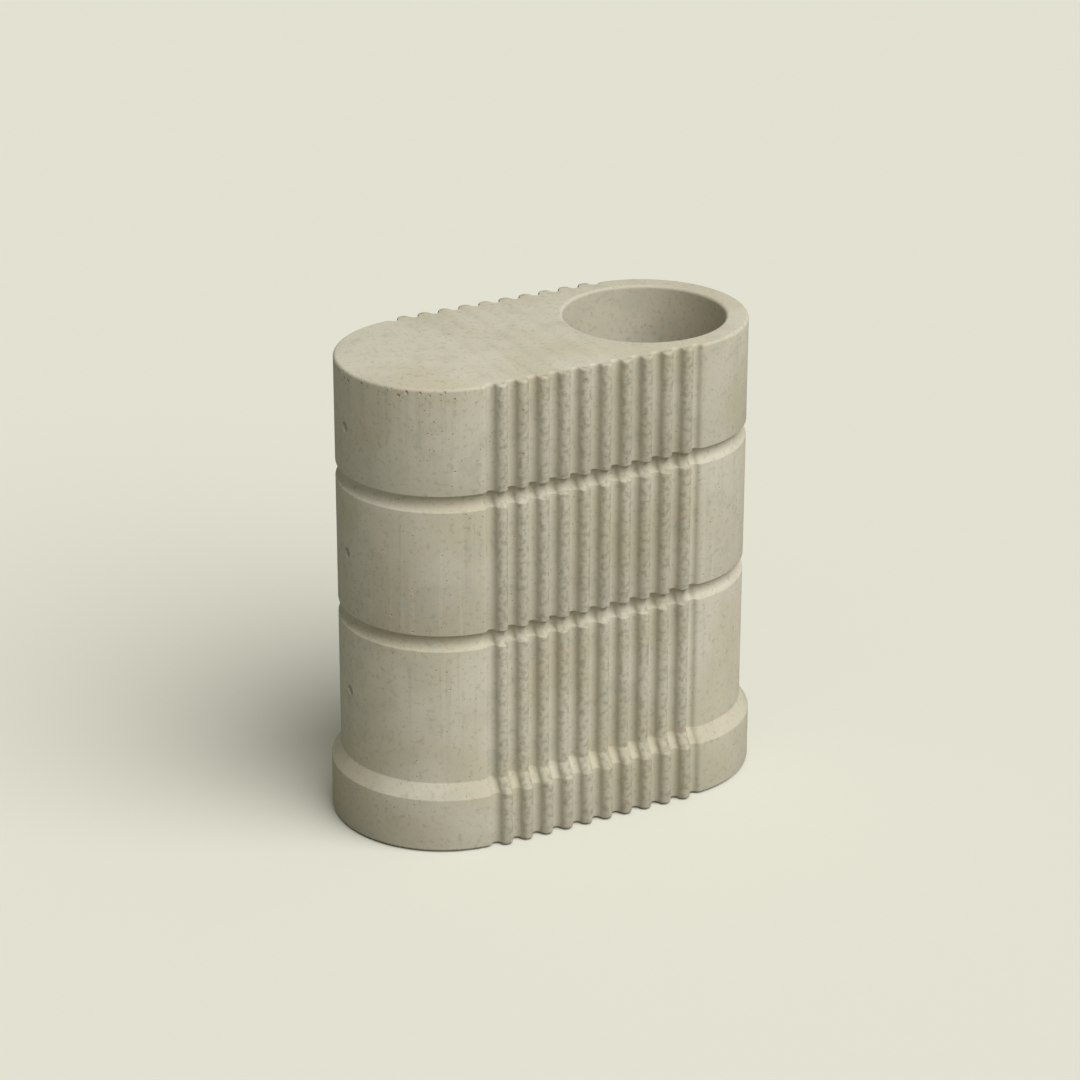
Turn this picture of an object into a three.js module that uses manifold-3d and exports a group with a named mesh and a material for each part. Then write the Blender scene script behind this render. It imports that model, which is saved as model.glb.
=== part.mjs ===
// A pillar vase cast in concrete: a block with two round ends and reeded sides, which stands on
// a plinth and has one deep round pocket in its top, in line with its right end.
// Millimetres. X runs along the block, Y across it from front to back, and Z up. The origin is on
// the floor, under the middle of the block.

import * as THREE from 'three';
import { mergeVertices } from 'three/addons/utils/BufferGeometryUtils.js';
import Module from 'manifold-3d';

// Overall sizes
const HEIGHT = 150;
const END_SPACING = 70; // between the axes of the two round ends
const BODY_RADIUS = 32; // of the round ends, above the plinth

// The plinth: a wider foot with a sloping shoulder
const PLINTH_PROUD = 3;
const PLINTH_HEIGHT = 17.7;
const PLINTH_SLOPE_HEIGHT = 4.5;
const BASE_EDGE_RADIUS = 0.8;
const TOP_EDGE_RADIUS = 1;

// The two grooves that run right round the block
const GROOVE_HEIGHTS = [68.7, 113.8]; // of their middles, above the ground
const GROOVE_WIDTH = 5;
const GROOVE_DEPTH = 2;

// The reeding on both long sides: a furrow, then a rib and a furrow for each rib
const RIB_COUNT = 10;
const RIB_WIDTH = 3.8; // at half its height
const FLANK_ANGLE = THREE.MathUtils.degToRad(80);
const SHOULDER_RADIUS = 1.8; // where a round end turns into the outermost furrow

// The round pocket, coaxial with the right end
const POCKET_WALL = 7; // the least left round the pocket, above the plinth and off the grooves
const POCKET_FLOOR = 25; // height of the pocket's floor above the ground
const POCKET_LIP_RADIUS = 1;
const POCKET_CORNER_RADIUS = 3;

// One dimple in each band of the left end, on the middle plane
const DIMPLE_RADIUS = 1.75;
const DIMPLE_DEPTH = 1.2;

// Four rubber pads, let into the base, on which the casting stands
const PAD_RADIUS = 6;
const PAD_THICKNESS = 1.6;
const PAD_STAND = 0.4; // what a pad stands out below the base
const PAD_INSET = 7; // from a pad's rim to the plinth's edge
const SEAT_GAP = 0.3; // all round a pad, in its recess

// Fineness of the round surfaces, in faces
const END_STEPS = 20;
const SHOULDER_STEPS = 2;
const RIB_STEPS = 6; // an even count, so that a point lies on each crest
const FURROW_STEPS = 4;
const GROOVE_STEPS = 4;
const EDGE_STEPS = 2;
const POCKET_STEPS = 64;

const wasm = await Module();
wasm.setup();

// Sizes that follow from the ones above
const halfSpacing = END_SPACING / 2;
const ribPitch = END_SPACING / RIB_COUNT;
const furrowWidth = ribPitch - RIB_WIDTH;
const ribRadius = RIB_WIDTH / 2 / Math.sin(FLANK_ANGLE);
const furrowRadius = furrowWidth / 2 / Math.sin(FLANK_ANGLE);
const pocketX = halfSpacing;
const pocketRadius = BODY_RADIUS - POCKET_WALL;

// The points of an arc, from one angle to another, both ends included.
function arcPoints(centreX, centreY, radius, from, to, steps) {
  return Array.from({ length: steps + 1 }, (_, step) => {
    const angle = from + (to - from) * step / steps;
    return new THREE.Vector2(
      centreX + radius * Math.cos(angle),
      centreY + radius * Math.sin(angle));
  });
}

// The quarter of the plan outline at +X and +Y, from the middle furrow to the tip of the round
// end. `grow` moves it outwards: the round end gains radius, and the reeding moves out whole.
function quarterOutline(grow) {
  const endRadius = BODY_RADIUS + grow;
  const furrowY = endRadius + furrowRadius * Math.cos(FLANK_ANGLE);
  const ribY = endRadius - ribRadius * Math.cos(FLANK_ANGLE);
  const down = -Math.PI / 2;
  const up = Math.PI / 2;
  const points = [];

  // From half of the middle furrow, or of the middle rib where the rib count is odd
  const firstOdd = RIB_COUNT % 2;
  for (let half = 0; half < RIB_COUNT; half += 1) {
    const x = half * ribPitch / 2;
    const isFurrow = (half + firstOdd) % 2 === 0;
    const start = half === 0 ? 0 : FLANK_ANGLE;
    if (isFurrow) {
      points.push(...arcPoints(x, furrowY, furrowRadius, down - start, down + FLANK_ANGLE, FURROW_STEPS));
    } else {
      points.push(...arcPoints(x, ribY, ribRadius, up + start, up - FLANK_ANGLE, RIB_STEPS));
    }
  }

  // The shoulder touches the outermost furrow on one side and the round end on the other
  const toEnd = endRadius - SHOULDER_RADIUS;
  const toFurrow = furrowRadius + SHOULDER_RADIUS;
  const shoulderY = (furrowY ** 2 + toEnd ** 2 - toFurrow ** 2) / (2 * furrowY);
  const shoulderX = Math.sqrt(toEnd ** 2 - shoulderY ** 2);
  const furrowTurn = Math.atan2(shoulderX, furrowY - shoulderY);
  const endTurn = Math.atan2(shoulderX, shoulderY);
  points.push(
    ...arcPoints(halfSpacing, furrowY, furrowRadius, down - FLANK_ANGLE, down + furrowTurn, FURROW_STEPS),
    ...arcPoints(
      halfSpacing + shoulderX, shoulderY, SHOULDER_RADIUS, up + furrowTurn, up - endTurn, SHOULDER_STEPS),
    ...arcPoints(halfSpacing, 0, endRadius, up - endTurn, 0, END_STEPS / 2));
  return points;
}

// The whole outline, anticlockwise from the tip of the right end, with no point twice.
function planOutline(grow) {
  const backRight = quarterOutline(grow).reverse();
  const backLeft = quarterOutline(grow).map((point) => new THREE.Vector2(-point.x, point.y));
  const frontLeft = [...backLeft].reverse().map((point) => new THREE.Vector2(point.x, -point.y));
  const frontRight = [...backRight].reverse().map((point) => new THREE.Vector2(point.x, -point.y));
  const all = [...backRight, ...backLeft, ...frontLeft, ...frontRight];
  return all.filter((point, index) => point.distanceTo(all.at(index - 1)) > 1e-6);
}

// The upright profile of the casting: at each height, how far the outline is grown.
function castingLevels() {
  const base = PAD_STAND;
  const bodyStart = PLINTH_HEIGHT + PLINTH_SLOPE_HEIGHT;
  const quarter = Math.PI / 2;
  const baseEdge = arcPoints(
    PLINTH_PROUD - BASE_EDGE_RADIUS, base + BASE_EDGE_RADIUS, BASE_EDGE_RADIUS, -quarter, 0, EDGE_STEPS);
  const topEdge = arcPoints(-TOP_EDGE_RADIUS, HEIGHT - TOP_EDGE_RADIUS, TOP_EDGE_RADIUS, 0, quarter, EDGE_STEPS);

  // A groove is an arc whose chord is its width and whose rise is its depth
  const grooveRadius = ((GROOVE_WIDTH / 2) ** 2 + GROOVE_DEPTH ** 2) / (2 * GROOVE_DEPTH);
  const grooveCentre = grooveRadius - GROOVE_DEPTH;
  const grooveTurn = Math.atan2(GROOVE_WIDTH / 2, grooveCentre);
  const grooves = GROOVE_HEIGHTS.flatMap((height) => arcPoints(
    grooveCentre, height, grooveRadius, Math.PI + grooveTurn, Math.PI - grooveTurn, GROOVE_STEPS));
  return [
    ...baseEdge,
    new THREE.Vector2(PLINTH_PROUD, PLINTH_HEIGHT),
    new THREE.Vector2(0, bodyStart),
    ...grooves,
    ...topEdge,
  ];
}

// A closed body through the outline at every level, with a flat face at the bottom and the top.
function loftGeometry(levels) {
  const rings = levels.map((level) => planOutline(level.x));
  const count = rings[0].length;
  const position = rings.flatMap((ring, index) => ring.flatMap((point) => [point.x, point.y, levels[index].y]));
  const faces = [];
  for (let ring = 0; ring < rings.length - 1; ring += 1) {
    for (let step = 0; step < count; step += 1) {
      const next = (step + 1) % count;
      const low = ring * count;
      const high = low + count;
      faces.push(low + step, low + next, high + next);
      faces.push(low + step, high + next, high + step);
    }
  }
  const last = (rings.length - 1) * count;
  for (const [a, b, c] of THREE.ShapeUtils.triangulateShape(rings[0], [])) {
    faces.push(c, b, a);
  }
  for (const [a, b, c] of THREE.ShapeUtils.triangulateShape(rings.at(-1), [])) {
    faces.push(last + a, last + b, last + c);
  }
  const geometry = new THREE.BufferGeometry();
  geometry.setAttribute('position', new THREE.Float32BufferAttribute(position, 3));
  geometry.setIndex(faces);
  return geometry;
}

// A body turned about an upright axis from a profile of radius and height.
function turnedGeometry(profile, steps) {
  return new THREE.LatheGeometry(profile, steps).rotateX(Math.PI / 2);
}

function toSolid(geometry) {
  const bare = geometry.clone();
  bare.deleteAttribute('normal');
  bare.deleteAttribute('uv');
  const merged = mergeVertices(bare, 1e-4);
  return new wasm.Manifold(new wasm.Mesh({
    numProp: 3,
    vertProperties: new Float32Array(merged.attributes.position.array),
    triVerts: new Uint32Array(merged.index.array),
  }));
}

function toGeometry(solid) {
  const mesh = solid.getMesh();
  const geometry = new THREE.BufferGeometry();
  geometry.setAttribute('position', new THREE.BufferAttribute(new Float32Array(mesh.vertProperties), 3));
  geometry.setIndex(new THREE.BufferAttribute(new Uint32Array(mesh.triVerts), 1));
  return geometry;
}

// The pocket, as a plug that passes the top face, with a rounded bottom corner and a rounded lip.
function pocketGeometry() {
  const quarter = Math.PI / 2;
  const lip = arcPoints(
    pocketRadius + POCKET_LIP_RADIUS, HEIGHT - POCKET_LIP_RADIUS, POCKET_LIP_RADIUS,
    Math.PI, quarter, EDGE_STEPS);
  const corner = arcPoints(
    pocketRadius - POCKET_CORNER_RADIUS, POCKET_FLOOR + POCKET_CORNER_RADIUS, POCKET_CORNER_RADIUS,
    -quarter, 0, EDGE_STEPS);
  const above = HEIGHT + POCKET_LIP_RADIUS;
  const profile = [
    new THREE.Vector2(0, POCKET_FLOOR),
    ...corner,
    ...lip,
    new THREE.Vector2(pocketRadius + POCKET_LIP_RADIUS, above),
    new THREE.Vector2(0, above),
  ];
  return turnedGeometry(profile, POCKET_STEPS).translate(pocketX, 0, 0);
}

// The dimples sit in the middle of the three bands that the grooves divide the left end into.
function dimpleGeometries() {
  const bandEdges = [PLINTH_HEIGHT + PLINTH_SLOPE_HEIGHT, ...GROOVE_HEIGHTS, HEIGHT];
  const endX = -halfSpacing - BODY_RADIUS;
  return bandEdges.slice(1).map((edge, index) => new THREE.SphereGeometry(1, 12, 8)
    .rotateX(Math.PI / 2)
    .scale(DIMPLE_DEPTH, DIMPLE_RADIUS, DIMPLE_RADIUS)
    .translate(endX, 0, (edge + bandEdges[index]) / 2));
}

// Where the pads sit: two under each round end, halfway between its side and its tip.
function padPlaces() {
  const fromAxis = (BODY_RADIUS + PLINTH_PROUD - PAD_INSET - PAD_RADIUS) * Math.SQRT1_2;
  const x = halfSpacing + fromAxis;
  const y = fromAxis;
  return [
    { name: 'foot_pad_front_left', x: -x, y: -y },
    { name: 'foot_pad_front_right', x, y: -y },
    { name: 'foot_pad_back_left', x: -x, y },
    { name: 'foot_pad_back_right', x, y },
  ];
}

function discGeometry(radius, low, high) {
  return turnedGeometry([
    new THREE.Vector2(0, low),
    new THREE.Vector2(radius, low),
    new THREE.Vector2(radius, high),
    new THREE.Vector2(0, high),
  ], 32);
}

function vaseBody() {
  let solid = toSolid(loftGeometry(castingLevels())).subtract(toSolid(pocketGeometry()));
  for (const dimple of dimpleGeometries()) {
    solid = solid.subtract(toSolid(dimple));
  }
  const recess = discGeometry(PAD_RADIUS + SEAT_GAP, -PAD_STAND, PAD_THICKNESS + SEAT_GAP);
  for (const place of padPlaces()) {
    solid = solid.subtract(toSolid(recess.clone().translate(place.x, place.y, 0)));
  }
  const concrete = new THREE.MeshStandardMaterial({ color: 0xb3aca0, roughness: 0.85, metalness: 0 });
  const mesh = new THREE.Mesh(toGeometry(solid), concrete);
  mesh.name = 'vase_body';
  return mesh;
}

function footPads() {
  return padPlaces().map((place) => {
    const rubber = new THREE.MeshStandardMaterial({ color: 0x2b2b2b, roughness: 0.9, metalness: 0 });
    const mesh = new THREE.Mesh(discGeometry(PAD_RADIUS, 0, PAD_THICKNESS), rubber);
    mesh.name = place.name;
    mesh.position.set(place.x, place.y, 0);
    return mesh;
  });
}

const vase = new THREE.Group();
vase.add(vaseBody(), ...footPads());

export default vase;
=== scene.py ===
import math
import random

import bmesh
import bpy
from mathutils import Matrix, Vector


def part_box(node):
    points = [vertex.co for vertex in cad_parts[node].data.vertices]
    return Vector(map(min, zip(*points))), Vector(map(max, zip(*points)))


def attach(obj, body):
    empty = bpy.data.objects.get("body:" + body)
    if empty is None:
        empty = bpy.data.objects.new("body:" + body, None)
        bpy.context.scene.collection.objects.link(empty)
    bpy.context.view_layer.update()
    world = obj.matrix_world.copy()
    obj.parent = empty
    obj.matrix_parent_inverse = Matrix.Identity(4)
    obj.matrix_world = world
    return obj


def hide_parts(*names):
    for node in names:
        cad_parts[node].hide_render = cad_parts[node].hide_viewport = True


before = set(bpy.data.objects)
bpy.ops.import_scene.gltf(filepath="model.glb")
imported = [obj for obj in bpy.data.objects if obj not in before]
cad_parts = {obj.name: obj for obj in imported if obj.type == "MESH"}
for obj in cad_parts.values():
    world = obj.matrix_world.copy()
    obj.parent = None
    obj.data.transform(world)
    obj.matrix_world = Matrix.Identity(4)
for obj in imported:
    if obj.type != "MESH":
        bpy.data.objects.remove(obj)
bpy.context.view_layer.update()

# The camera
# A long lens stands about a metre away, to the left of the vase's front and a little above it.
# Azimuths are measured from the front of the vase, and grow towards its right end.
MM = 0.001
camera_azimuth = math.radians(-28.68)
camera_elevation = math.radians(23.56)
camera_roll = math.radians(0.13)
camera_distance = 1118.2 * MM
aim_right = -1.0 * MM
aim_up = 6.0 * MM
focal_length_in_frames = 3609 / 1080

backward = Vector((
    math.sin(camera_azimuth) * math.cos(camera_elevation),
    -math.cos(camera_azimuth) * math.cos(camera_elevation),
    math.sin(camera_elevation)))
level_right = (-backward).cross(Vector((0, 0, 1))).normalized()
level_up = level_right.cross(-backward)
right = level_right * math.cos(camera_roll) + level_up * math.sin(camera_roll)
up = level_up * math.cos(camera_roll) - level_right * math.sin(camera_roll)

camera_data = bpy.data.cameras.new("camera")
camera_data.sensor_width = 36
camera_data.lens = focal_length_in_frames * camera_data.sensor_width
camera = bpy.data.objects.new("camera", camera_data)
bpy.context.scene.collection.objects.link(camera)
middle = Vector((0, 0, 75 * MM))
camera_place = Matrix((right, up, backward)).transposed().to_4x4()
camera_place.translation = (
    middle + backward * camera_distance + level_right * aim_right + level_up * aim_up)
camera.matrix_world = camera_place
bpy.context.scene.camera = camera


# The means of making finishes
# A finish is a material in the making. What varies over its surface is a Shade, on which plain
# arithmetic adds the shader's maths.
def linear(red, green, blue):
    """The colour that shows as these 0 to 255 values, as a shader wants it."""
    def channel(value):
        share = value / 255
        return share / 12.92 if share <= 0.04045 else ((share + 0.055) / 1.055) ** 2.4
    return (channel(red), channel(green), channel(blue), 1)


class Shade:
    """A number that varies over a surface."""

    def __init__(self, tree, socket):
        self.tree = tree
        self.socket = socket

    def math(self, operation, *operands):
        """The shader's maths on the operands, or on this number alone where none is given."""
        node = self.tree.nodes.new("ShaderNodeMath")
        node.operation = operation
        for slot, operand in zip(node.inputs, operands or (self,)):
            if isinstance(operand, Shade):
                self.tree.links.new(operand.socket, slot)
            else:
                slot.default_value = operand
        return Shade(self.tree, node.outputs[0])

    def __add__(self, other):
        return self.math("ADD", self, other)

    def __sub__(self, other):
        return self.math("SUBTRACT", self, other)

    def __mul__(self, other):
        return self.math("MULTIPLY", self, other)

    def __rsub__(self, other):
        return self.math("SUBTRACT", other, self)

    __radd__ = __add__


class Finish:
    """A material in the making: its shader, and one way to add any other node."""

    def __init__(self, name):
        self.material = bpy.data.materials.new(name)
        self.material.use_nodes = True
        self.tree = self.material.node_tree
        self.shader = self.tree.nodes["Principled BSDF"]

    def connect(self, value, socket):
        if isinstance(value, Shade):
            self.tree.links.new(value.socket, socket)
        else:
            socket.default_value = value

    def node(self, kind, settings=None, inputs=None, output=0):
        node = self.tree.nodes.new("ShaderNode" + kind)
        for name, setting in (settings or {}).items():
            setattr(node, name, setting)
        for name, value in (inputs or {}).items():
            self.connect(value, node.inputs[name])
        return Shade(self.tree, node.outputs[output])

    def place(self):
        """The place on the piece, in its own coordinates, in metres."""
        return self.node("TexCoord", output="Object")

    def parts(self, place):
        """The three parts of a place: X, Y and Z."""
        split = self.tree.nodes.new("ShaderNodeSeparateXYZ")
        self.tree.links.new(place.socket, split.inputs[0])
        return [Shade(self.tree, socket) for socket in split.outputs]

    def noise(self, place, size, detail):
        """Noise from 0 to 1 whose blobs are about this size in metres."""
        return self.node("TexNoise", None, {"Vector": place, "Scale": 1 / size, "Detail": detail})

    def between(self, value, low, high):
        """How far the value has gone from low to high, smoothly, from 0 to 1."""
        return self.node(
            "MapRange", {"interpolation_type": "SMOOTHSTEP"},
            {"Value": value, "From Min": low, "From Max": high})

    def blend(self, share, first, second):
        """The first colour where the share is 0, the second where it is 1."""
        node = self.tree.nodes.new("ShaderNodeMix")
        node.data_type = "RGBA"
        share_slot, first_slot, second_slot = node.inputs[0], node.inputs[6], node.inputs[7]
        self.connect(share, share_slot)
        self.connect(first, first_slot)
        self.connect(second, second_slot)
        return Shade(self.tree, node.outputs[2])

    def bump(self, height, strength, distance):
        """Raises the surface in its shading only."""
        bump = self.node("Bump", None, {"Height": height, "Strength": strength, "Distance": distance})
        self.connect(bump, self.shader.inputs["Normal"])


# The studio
# A plain pale floor runs on past the picture. One large soft lamp at the right lights the vase,
# and an even sky fills in its shadows. The floor throws less light back than it shows: with all of
# it, the shaded side of the vase comes out too pale.
sky_strength = 0.42
floor_size = 10


def soft_lamp(name, azimuth, elevation, spread, strength):
    """A far lamp that looks as wide as its spread. Its angles are in degrees."""
    turn, lift = math.radians(azimuth), math.radians(elevation)
    towards = Vector((
        math.sin(turn) * math.cos(lift), -math.cos(turn) * math.cos(lift), math.sin(lift)))
    bpy.ops.object.light_add(type="SUN", location=middle + towards)
    lamp = bpy.context.object
    lamp.name = name
    lamp.data.angle = math.radians(spread)
    lamp.data.energy = strength
    lamp.rotation_euler = towards.to_track_quat("Z", "Y").to_euler()


soft_lamp("softbox", azimuth=18, elevation=50, spread=58, strength=3.45)

world = bpy.data.worlds.new("studio")
bpy.context.scene.world = world
world.use_nodes = True
sky = world.node_tree.nodes["Background"]
sky.inputs["Color"].default_value = linear(228, 228, 216)
sky.inputs["Strength"].default_value = sky_strength

bpy.ops.object.select_all(action="DESELECT")
bpy.ops.mesh.primitive_plane_add(size=floor_size, location=(0, 0, 0))
floor = bpy.context.object
floor.name = "floor"
paper = Finish("pale_paper")
seen = paper.node("LightPath", output="Is Camera Ray")
thrown_colour = linear(139, 138, 128)
shown_colour = linear(212, 211, 199)
paper.connect(paper.blend(seen, thrown_colour, shown_colour), paper.shader.inputs["Base Color"])
paper.shader.inputs["Roughness"].default_value = 0.9
paper.shader.inputs["Specular IOR Level"].default_value = 0.1
floor.data.materials.append(paper.material)

bpy.context.scene.view_settings.view_transform = "Standard"


# The casting
# One block of cast concrete: two round ends, reeded sides, a plinth, two grooves that run right
# round and a round pocket. It is drawn as a plan outline, which is then raised level by level.
half_spacing = 35 * MM
body_radius = 32 * MM
rib_count = 10
rib_width = 3.8 * MM
flank_angle = math.radians(80)
shoulder_radius = 1.8 * MM
rib_pitch = 2 * half_spacing / rib_count
rib_radius = rib_width / 2 / math.sin(flank_angle)
furrow_radius = (rib_pitch - rib_width) / 2 / math.sin(flank_angle)

plinth_proud = 3 * MM
plinth_height = 17.7 * MM
plinth_slope_height = 4.5 * MM
groove_heights = (68.7 * MM, 113.8 * MM)
groove_width = 5 * MM
groove_depth = 2 * MM
base_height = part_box("vase_body")[0][2]
top_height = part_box("vase_body")[1][2]

base_edge = 0.8 * MM
plinth_edge = 0.7 * MM
groove_lip = 0.4 * MM
top_edge = 1.0 * MM

pocket_radius = 25 * MM
pocket_floor = 25 * MM
pocket_lip = 1.0 * MM
pocket_corner = 3.0 * MM

rib_steps = 14
furrow_steps = 12
shoulder_steps = 5
end_steps = 44
base_edge_steps = 4
small_edge_steps = 3
groove_steps = 12
top_edge_steps = 5
pocket_edge_steps = 6
pocket_steps = 160


def draw_quarter_outline(piece, grow):
    """Spins one point along the arcs of a quarter of the plan, from the middle furrow to the end."""
    end_radius = body_radius + grow
    furrow_y = end_radius + furrow_radius * math.cos(flank_angle)
    rib_y = end_radius - rib_radius * math.cos(flank_angle)
    shape = bmesh.from_edit_mesh(piece.data)
    bmesh.ops.delete(shape, geom=shape.verts[:], context="VERTS")
    point = shape.verts.new((0, furrow_y - furrow_radius, 0))
    point.select = True
    bmesh.update_edit_mesh(piece.data)

    def spin(centre_x, centre_y, turn, steps):
        """Spins the last point round a centre, anticlockwise where the turn is positive."""
        bpy.ops.mesh.spin(
            steps=steps, angle=turn, center=(centre_x, centre_y, 0), axis=(0, 0, -1), dupli=False)

    spin(0, furrow_y, flank_angle, furrow_steps // 2)
    for half in range(1, rib_count):
        if half % 2:
            spin(half * rib_pitch / 2, rib_y, -2 * flank_angle, rib_steps)
        else:
            spin(half * rib_pitch / 2, furrow_y, 2 * flank_angle, furrow_steps)
    to_end = end_radius - shoulder_radius
    to_furrow = furrow_radius + shoulder_radius
    shoulder_y = (furrow_y ** 2 + to_end ** 2 - to_furrow ** 2) / (2 * furrow_y)
    shoulder_x = math.sqrt(to_end ** 2 - shoulder_y ** 2)
    furrow_turn = math.atan2(shoulder_x, furrow_y - shoulder_y)
    end_turn = math.atan2(shoulder_x, shoulder_y)
    spin(half_spacing, furrow_y, flank_angle + furrow_turn, furrow_steps)
    spin(half_spacing + shoulder_x, shoulder_y, -(furrow_turn + end_turn), shoulder_steps)
    spin(half_spacing, 0, -(math.pi / 2 - end_turn), end_steps)


def arc(centre, middle_height, radius, start, end, steps):
    """Points of an arc on the upright profile, as (how far outwards, height), both ends included."""
    angles = [start + (end - start) * step / steps for step in range(steps + 1)]
    return [
        (centre + radius * math.cos(angle), middle_height + radius * math.sin(angle))
        for angle in angles]


def casting_profile():
    """The upright profile: how far the outline is grown at each height, from the base to the top."""
    quarter = math.pi / 2
    slope_turn = math.atan2(plinth_proud, plinth_slope_height)
    cut_back = plinth_edge * math.tan(slope_turn / 2)
    slope_top = plinth_height + plinth_slope_height + cut_back
    groove_radius = ((groove_width / 2) ** 2 + groove_depth ** 2) / (2 * groove_depth)
    groove_centre = groove_radius - groove_depth
    lip_rise = math.sqrt((groove_radius + groove_lip) ** 2 - (groove_centre + groove_lip) ** 2)
    lip_turn = math.atan2(lip_rise, groove_centre + groove_lip)

    levels = arc(
        plinth_proud - base_edge, base_height + base_edge, base_edge, -quarter, 0, base_edge_steps)
    levels += arc(
        plinth_proud - plinth_edge, plinth_height - cut_back, plinth_edge, 0, slope_turn, small_edge_steps)
    levels += arc(plinth_edge, slope_top, plinth_edge, math.pi + slope_turn, math.pi, small_edge_steps)
    for height in groove_heights:
        groove = arc(
            groove_centre, height, groove_radius, math.pi + lip_turn, math.pi - lip_turn, groove_steps)
        levels += arc(-groove_lip, height - lip_rise, groove_lip, 0, lip_turn, small_edge_steps)
        levels += groove[1:-1]
        levels += arc(-groove_lip, height + lip_rise, groove_lip, -lip_turn, 0, small_edge_steps)
    levels += arc(-top_edge, top_height - top_edge, top_edge, 0, quarter, top_edge_steps)
    return levels


bpy.ops.object.select_all(action="DESELECT")
bpy.ops.mesh.primitive_plane_add(size=1 * MM, location=(0, 0, 0))
casting = bpy.context.object
casting.name = "concrete_casting"
profile = casting_profile()
base_grow, base_level = profile[0]
bpy.ops.object.mode_set(mode="EDIT")
draw_quarter_outline(casting, base_grow)
bpy.ops.object.mode_set(mode="OBJECT")
mirror = casting.modifiers.new("mirror", "MIRROR")
mirror.use_axis = (True, True, False)
mirror.merge_threshold = 0.01 * MM
bpy.ops.object.modifier_apply(modifier="mirror")

bpy.ops.object.mode_set(mode="EDIT")
bpy.ops.mesh.select_all(action="SELECT")
bpy.ops.mesh.remove_doubles(threshold=0.005 * MM)
bpy.ops.transform.translate(value=(0, 0, base_level))
bpy.ops.mesh.edge_face_add()
for (grow, height), (next_grow, next_height) in zip(profile, profile[1:]):
    outwards = next_grow - grow
    bpy.ops.mesh.extrude_region_move(TRANSFORM_OT_translate={"value": (0, 0, next_height - height)})
    ring = [vertex for vertex in bmesh.from_edit_mesh(casting.data).verts if vertex.select]
    for vertex in ring:
        side = max(-half_spacing, min(half_spacing, vertex.co.x))
        from_axis = Vector((vertex.co.x - side, vertex.co.y))
        if abs(vertex.co.x) > half_spacing:
            direction = from_axis.normalized()
        else:
            direction = Vector((0, math.copysign(1, vertex.co.y)))
        vertex.co.x += direction.x * outwards
        vertex.co.y += direction.y * outwards
    bmesh.update_edit_mesh(casting.data)
bpy.ops.mesh.select_all(action="SELECT")
bpy.ops.mesh.normals_make_consistent(inside=False)
bpy.ops.object.mode_set(mode="OBJECT")


def cut(piece, cutter):
    """Takes the cutter's shape out of the piece, and removes the cutter."""
    bpy.ops.object.select_all(action="DESELECT")
    bpy.context.view_layer.objects.active = piece
    piece.select_set(True)
    boolean = piece.modifiers.new("cut", "BOOLEAN")
    boolean.operation = "DIFFERENCE"
    boolean.solver = "EXACT"
    boolean.object = cutter
    bpy.ops.object.modifier_apply(modifier="cut")
    bpy.data.objects.remove(cutter)


def pocket_core():
    """The core that leaves the pocket: a round plug with a rounded foot and a flared rim."""
    quarter = math.pi / 2
    rim_radius = pocket_radius + pocket_lip
    rows = arc(
        pocket_radius - pocket_corner, pocket_floor + pocket_corner, pocket_corner,
        -quarter, 0, pocket_edge_steps)
    rows += arc(rim_radius, top_height - pocket_lip, pocket_lip, math.pi, quarter, pocket_edge_steps)
    rows += [(rim_radius, top_height + pocket_lip)]
    foot_radius, foot_height = rows[0]
    bpy.ops.object.select_all(action="DESELECT")
    bpy.ops.mesh.primitive_circle_add(
        vertices=pocket_steps, radius=foot_radius, fill_type="NGON",
        location=(half_spacing, 0, foot_height))
    core = bpy.context.object
    bpy.ops.object.transform_apply(location=True, rotation=False, scale=False)
    bpy.ops.object.mode_set(mode="EDIT")
    bpy.ops.mesh.select_all(action="SELECT")
    for (radius, height), (next_radius, next_height) in zip(rows, rows[1:]):
        bpy.ops.mesh.extrude_region_move(TRANSFORM_OT_translate={"value": (0, 0, next_height - height)})
        for vertex in bmesh.from_edit_mesh(core.data).verts:
            if vertex.select:
                vertex.co.x = half_spacing + (vertex.co.x - half_spacing) * next_radius / radius
                vertex.co.y *= next_radius / radius
        bmesh.update_edit_mesh(core.data)
    bpy.ops.mesh.select_all(action="SELECT")
    bpy.ops.mesh.normals_make_consistent(inside=False)
    bpy.ops.object.mode_set(mode="OBJECT")
    return core


cut(casting, pocket_core())


def add_balls(name, spots):
    """Small balls in one mesh, each at a place, with a radius and its own squeeze."""
    mesh = bpy.data.meshes.new(name)
    shape = bmesh.new()
    for place_of_ball, radius, squeeze in spots:
        size = Matrix.Diagonal((radius * squeeze[0], radius * squeeze[1], radius * squeeze[2], 1))
        bmesh.ops.create_icosphere(
            shape, subdivisions=2, radius=1, matrix=Matrix.Translation(place_of_ball) @ size)
    shape.to_mesh(mesh)
    shape.free()
    balls = bpy.data.objects.new(name, mesh)
    bpy.context.scene.collection.objects.link(balls)
    return balls


# Three round dimples, one in the middle of each band of the left end
dimple_radius = 1.75 * MM
dimple_depth = 1.7 * MM
dimple_squeeze = (dimple_depth / dimple_radius, 1, 1)
body_start = plinth_height + plinth_slope_height
band_edges = (body_start, *groove_heights, top_height)
cut(casting, add_balls("dimples", [
    (Vector((-half_spacing - body_radius, 0, (low + high) / 2)), dimple_radius, dimple_squeeze)
    for low, high in zip(band_edges, band_edges[1:])]))

# Four shallow recesses in the base take the foot pads
pad_radius = 6 * MM
pad_thickness = 1.6 * MM
seat_gap = 0.3 * MM
round_steps = 64
pad_names = [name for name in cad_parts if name.startswith("foot_pad")]
for pad_name in pad_names:
    low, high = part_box(pad_name)
    bpy.ops.object.select_all(action="DESELECT")
    bpy.ops.mesh.primitive_cylinder_add(
        vertices=round_steps, radius=pad_radius + seat_gap, depth=2 * (pad_thickness + seat_gap),
        location=((low[0] + high[0]) / 2, (low[1] + high[1]) / 2, 0))
    cut(casting, bpy.context.object)


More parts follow.
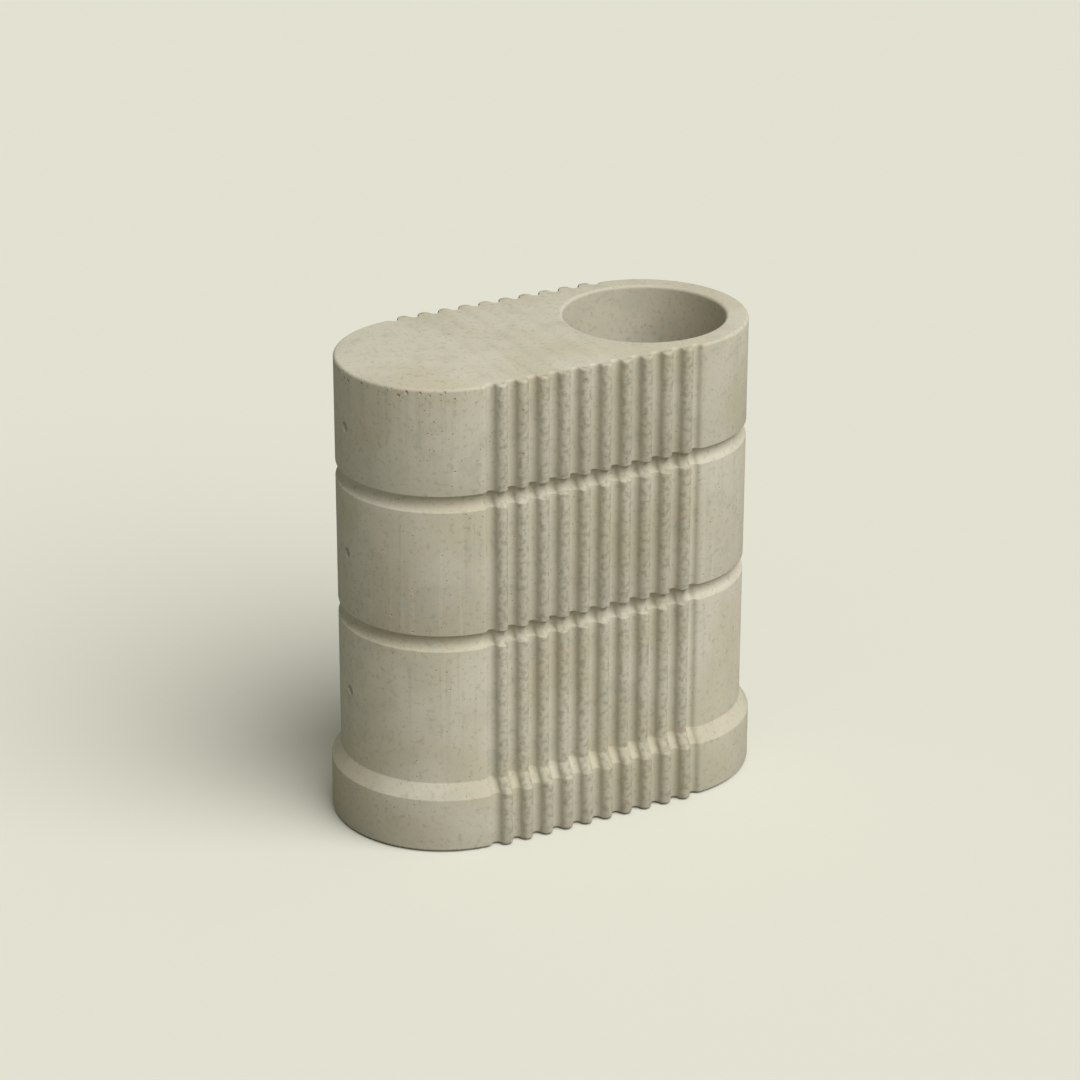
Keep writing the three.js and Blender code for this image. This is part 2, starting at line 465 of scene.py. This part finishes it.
def on_round_end(end, plan_angle, height):
    """A place on the face of the left (-1) or the right (+1) round end."""
    outwards = Vector((math.cos(plan_angle) * end, math.sin(plan_angle), 0))
    return Vector((end * half_spacing, 0, height)) + outwards * body_radius


def on_rib(side, rib, lean, height):
    """A place on a rib of the front (-1) or the back (+1), this far to the side of its crest."""
    crest = body_radius - rib_radius * math.cos(flank_angle) + rib_radius
    drop = rib_radius - math.sqrt(rib_radius ** 2 - lean ** 2)
    return Vector((-half_spacing + (rib + 0.5) * rib_pitch + lean, side * (crest - drop), height))


def air_holes(count, seed):
    """Air holes as the mould leaves them: many near the top, where bubbles rise, and few lower."""
    crowding_to_top = 0.45
    share_on_ends = 0.62
    share_on_left_end = 0.36
    share_of_large_holes = 0.12
    chance = random.Random(seed)
    highest = top_height - 2 * MM
    spots = []
    for _ in range(count):
        height = body_start + chance.random() ** crowding_to_top * (highest - body_start)
        radius = chance.uniform(0.13, 0.3) * MM
        if chance.random() < share_of_large_holes:
            radius *= 1.5
        where = chance.random()
        if where < share_on_ends:
            end = -1 if where < share_on_left_end else 1
            spot = on_round_end(end, chance.uniform(-math.pi / 2, math.pi / 2) * 0.95, height)
        else:
            side = chance.choice((-1, 1))
            rib = chance.randrange(rib_count)
            spot = on_rib(side, rib, chance.uniform(-1, 1) * rib_radius * 0.7, height)
        squeeze = [chance.uniform(0.75, 1.25) for _ in range(3)]
        spots.append((spot, radius, squeeze))
    return spots


def rim_voids(count, seed):
    """Larger, longer voids just under the top edge of the left end, where the mix settled."""
    chance = random.Random(seed)
    spots = []
    for _ in range(count):
        turn = -chance.uniform(-0.2, 1.25)
        spot = on_round_end(-1, turn, top_height - chance.uniform(0.8, 3.2) * MM)
        radius = chance.uniform(0.2, 0.5) * MM
        squeeze = (1.1, chance.uniform(0.8, 1.5), chance.uniform(0.9, 1.7))
        spots.append((spot, radius, squeeze))
    return spots


def apart(spots):
    """The spots in order, less those that would run into an earlier one."""
    room = 1.8
    kept = []
    for spot in spots:
        if all((spot[0] - other[0]).length > room * (spot[1] + other[1]) for other in kept):
            kept.append(spot)
    return kept


cut(casting, add_balls("air_holes", apart(rim_voids(count=22, seed=5) + air_holes(count=330, seed=11))))

smooth_below = math.radians(32)
bpy.ops.object.select_all(action="DESELECT")
casting.select_set(True)
bpy.context.view_layer.objects.active = casting
bpy.ops.object.shade_smooth_by_angle(angle=smooth_below)


def concrete_finish():
    """Fine cast concrete: warm grey, clouded, sand grains, pinholes with painted shade, a dry matt skin.
    """
    finish = Finish("cast_concrete")
    place_on_vase = finish.place()
    clouds = finish.noise(place_on_vase, 28 * MM, 3)
    patches = finish.noise(place_on_vase, 7 * MM, 4)
    mottle = finish.noise(place_on_vase, 1.6 * MM, 3)
    grain = finish.noise(place_on_vase, 0.45 * MM, 2)

    pale = linear(189, 184, 167)
    warm = linear(182, 175, 154)
    cool = linear(176, 174, 158)
    dark_tone = linear(126, 119, 98)
    painted_pit_shade = linear(76, 70, 54)
    colour = finish.blend(finish.between(clouds, 0.4, 0.66), pale, warm)
    colour = finish.blend(finish.between(patches, 0.5, 0.72) * 0.7, colour, cool)
    colour = finish.blend(finish.between(mottle, 0.52, 0.75) * 0.28, colour, dark_tone)
    colour = finish.blend(finish.between(grain, 0.6, 0.78) * 0.38, colour, dark_tone)

    cells = finish.node(
        "TexVoronoi", None, {"Vector": place_on_vase, "Scale": 1 / (1.7 * MM), "Randomness": 1.0})
    some = finish.between(finish.noise(place_on_vase, 5 * MM, 1), 0.5, 0.62)
    pinhole = (1 - finish.between(cells, 0.07, 0.13)) * some
    # The pinholes are painted dark with the shade that falls into these tiny pits
    colour = finish.blend(pinhole * 0.8, colour, painted_pit_shade)

    # The crests of the ribs are coloured darker than the furrows between them
    along, across, _ = finish.parts(place_on_vase)
    phase = (along * (2 * math.pi / rib_pitch)).math("COSINE")
    at_side = finish.between(across.math("ABSOLUTE"), 31.0 * MM, 32.0 * MM)
    at_end = finish.between(along.math("ABSOLUTE"), half_spacing - 1 * MM, half_spacing)
    crest = finish.between(0 - phase, -0.25, 0.35) * (at_side * (1 - at_end))
    crest_darkening = 0.12 + finish.between(mottle, 0.42, 0.62) * 0.3
    colour = finish.blend(crest * crest_darkening, colour, dark_tone)

    finish.connect(colour, finish.shader.inputs["Base Color"])
    finish.connect(0.8 + mottle * 0.16, finish.shader.inputs["Roughness"])
    finish.shader.inputs["Specular IOR Level"].default_value = 0.25
    finish.bump(grain * 0.5 + mottle * 0.6 - pinhole * 1.6, strength=0.35, distance=0.12 * MM)
    return finish.material


casting.data.materials.clear()
casting.data.materials.append(concrete_finish())
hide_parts("vase_body")
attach(casting, "root")


# The foot pads
# Four round pads of dark rubber, pressed into the recesses in the base, so that the concrete
# doesn't scratch a table. Each has rounded edges and a fine moulded grain.
pad_edge = 0.3 * MM
pad_edge_steps = 3


def rubber_finish():
    """Dark rubber with a fine grain and paler, worn patches."""
    finish = Finish("pad_rubber")
    place_on_pad = finish.place()
    grain = finish.noise(place_on_pad, 0.4 * MM, 2)
    wear = finish.noise(place_on_pad, 4 * MM, 3)
    dark, worn = linear(44, 43, 41), linear(62, 60, 56)
    finish.connect(
        finish.blend(finish.between(wear, 0.4, 0.7), dark, worn), finish.shader.inputs["Base Color"])
    finish.connect(0.72 + grain * 0.2, finish.shader.inputs["Roughness"])
    finish.bump(grain, strength=0.3, distance=0.05 * MM)
    return finish.material


pad_material = rubber_finish()
for pad_name in pad_names:
    low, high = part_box(pad_name)
    bpy.ops.object.select_all(action="DESELECT")
    bpy.ops.mesh.primitive_cylinder_add(
        vertices=round_steps, radius=pad_radius, depth=high[2] - low[2],
        location=((low[0] + high[0]) / 2, (low[1] + high[1]) / 2, (low[2] + high[2]) / 2))
    pad = bpy.context.object
    pad.name = "rubber_" + pad_name
    bpy.ops.object.transform_apply(location=True, rotation=False, scale=False)
    rounding = pad.modifiers.new("rounding", "BEVEL")
    rounding.width = pad_edge
    rounding.segments = pad_edge_steps
    rounding.limit_method = "ANGLE"
    bpy.ops.object.modifier_apply(modifier="rounding")
    bpy.ops.object.shade_smooth_by_angle(angle=smooth_below)
    pad.data.materials.append(pad_material)
    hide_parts(pad_name)
    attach(pad, "root")
